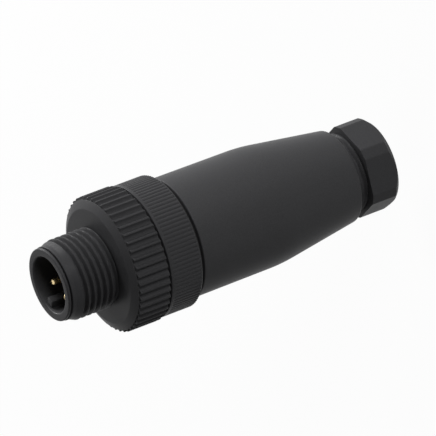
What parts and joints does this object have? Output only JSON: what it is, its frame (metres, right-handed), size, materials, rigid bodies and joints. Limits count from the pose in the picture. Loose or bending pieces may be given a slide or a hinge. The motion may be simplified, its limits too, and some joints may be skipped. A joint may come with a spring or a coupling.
{
  "type": "m12 circular connector",
  "caption": "Straight male M12 connector for field wiring: ribbed coupling nut, knurled flange, tapered sleeve, cable gland, coded pin face and screw terminals.",
  "frame": {"origin": "centre of the gland nut's end face, which it stands on", "axes": "+Z along the connector axis to the mating face; +X toward the coding key"},
  "size_m": [0.0202, 0.0202, 0.0547],
  "materials": {
    "black_plastic": "moulded black polyamide, fine matt skin",
    "insert_plastic": "moulded black polyamide, fine matt skin",
    "nut_plastic": "moulded black polyamide, fine matt skin",
    "contact_metal": "gold-plated brass, satin",
    "screw_metal": "nickel-plated steel",
    "plate_metal": "bright spring steel",
    "seal_rubber": "black nitrile rubber"
  },
  "bodies": {
    "sleeve": {"sleeve_housing": "black_plastic", "cable_seal": "seal_rubber"},
    "seal_ring": {"flange_seal": "seal_rubber"},
    "head": {"contact_carrier": "insert_plastic", "contact_pin_1": "contact_metal", "contact_pin_2": "contact_metal", "contact_pin_3": "contact_metal", "contact_pin_4": "contact_metal"},
    "coupling_nut": {"coupling_nut": "nut_plastic"},
    "thrust_ring": {"thrust_ring": "nut_plastic"},
    "gland_nut": {"gland_nut": "nut_plastic"},
    "clamp_1": {"clamp_plate_1": "plate_metal"},
    "screw_1": {"terminal_screw_1": "screw_metal"},
    "clamp_2": {"clamp_plate_2": "plate_metal"},
    "screw_2": {"terminal_screw_2": "screw_metal"},
    "clamp_3": {"clamp_plate_3": "plate_metal"},
    "screw_3": {"terminal_screw_3": "screw_metal"},
    "clamp_4": {"clamp_plate_4": "plate_metal"},
    "screw_4": {"terminal_screw_4": "screw_metal"}
  },
  "joints": [
    {"name": "head_rise", "type": "slide", "parent": "sleeve", "child": "seal_ring", "axis": [0, 0, 1], "range_m": [0, 0.005]},
    {"name": "head_turn", "type": "hinge", "parent": "seal_ring", "child": "head", "pos_m": [0, 0, 0.0348], "axis": [0, 0, 1], "range_deg": [0, 1801]},
    {"name": "coupling_nut_turn", "type": "hinge", "parent": "head", "child": "coupling_nut", "pos_m": [0, 0, 0.0474], "axis": [0, 0, 1], "continuous": true},
    {"name": "gland_back_off", "type": "slide", "parent": "sleeve", "child": "thrust_ring", "axis": [0, 0, -1], "range_m": [0, 0.0057]},
    {"name": "gland_turn", "type": "hinge", "parent": "thrust_ring", "child": "gland_nut", "pos_m": [0, 0, 0.006], "axis": [0, 0, -1], "range_deg": [0, 1369]},
    {"name": "clamp_1_press", "type": "slide", "parent": "head", "child": "clamp_1", "axis": [-0.7071, -0.7071, 0], "range_m": [0, 0.0009]},
    {"name": "screw_1_turn", "type": "hinge", "parent": "clamp_1", "child": "screw_1", "pos_m": [0.00403, 0.00403, 0.0257], "axis": [-0.7071, -0.7071, 0], "range_deg": [0, 811]},
    {"name": "clamp_2_press", "type": "slide", "parent": "head", "child": "clamp_2", "axis": [0.7071, -0.7071, 0], "range_m": [0, 0.0009]},
    {"name": "screw_2_turn", "type": "hinge", "parent": "clamp_2", "child": "screw_2", "pos_m": [-0.00403, 0.00403, 0.0257], "axis": [0.7071, -0.7071, 0], "range_deg": [0, 811]},
    {"name": "clamp_3_press", "type": "slide", "parent": "head", "child": "clamp_3", "axis": [0.7071, 0.7071, 0], "range_m": [0, 0.0009]},
    {"name": "screw_3_turn", "type": "hinge", "parent": "clamp_3", "child": "screw_3", "pos_m": [-0.00403, -0.00403, 0.0257], "axis": [0.7071, 0.7071, 0], "range_deg": [0, 811]},
    {"name": "clamp_4_press", "type": "slide", "parent": "head", "child": "clamp_4", "axis": [-0.7071, 0.7071, 0], "range_m": [0, 0.0009]},
    {"name": "screw_4_turn", "type": "hinge", "parent": "clamp_4", "child": "screw_4", "pos_m": [0.00403, -0.00403, 0.0257], "axis": [-0.7071, 0.7071, 0], "range_deg": [0, 811]}
  ],
  "couplings": [
    {"joint": "head_turn", "follows": "head_rise", "rad_per_m": 6283.2},
    {"joint": "gland_turn", "follows": "gland_back_off", "rad_per_m": 4188.8},
    {"joint": "screw_1_turn", "follows": "clamp_1_press", "rad_per_m": 15708},
    {"joint": "screw_2_turn", "follows": "clamp_2_press", "rad_per_m": 15708},
    {"joint": "screw_3_turn", "follows": "clamp_3_press", "rad_per_m": 15708},
    {"joint": "screw_4_turn", "follows": "clamp_4_press", "rad_per_m": 15708}
  ]
}
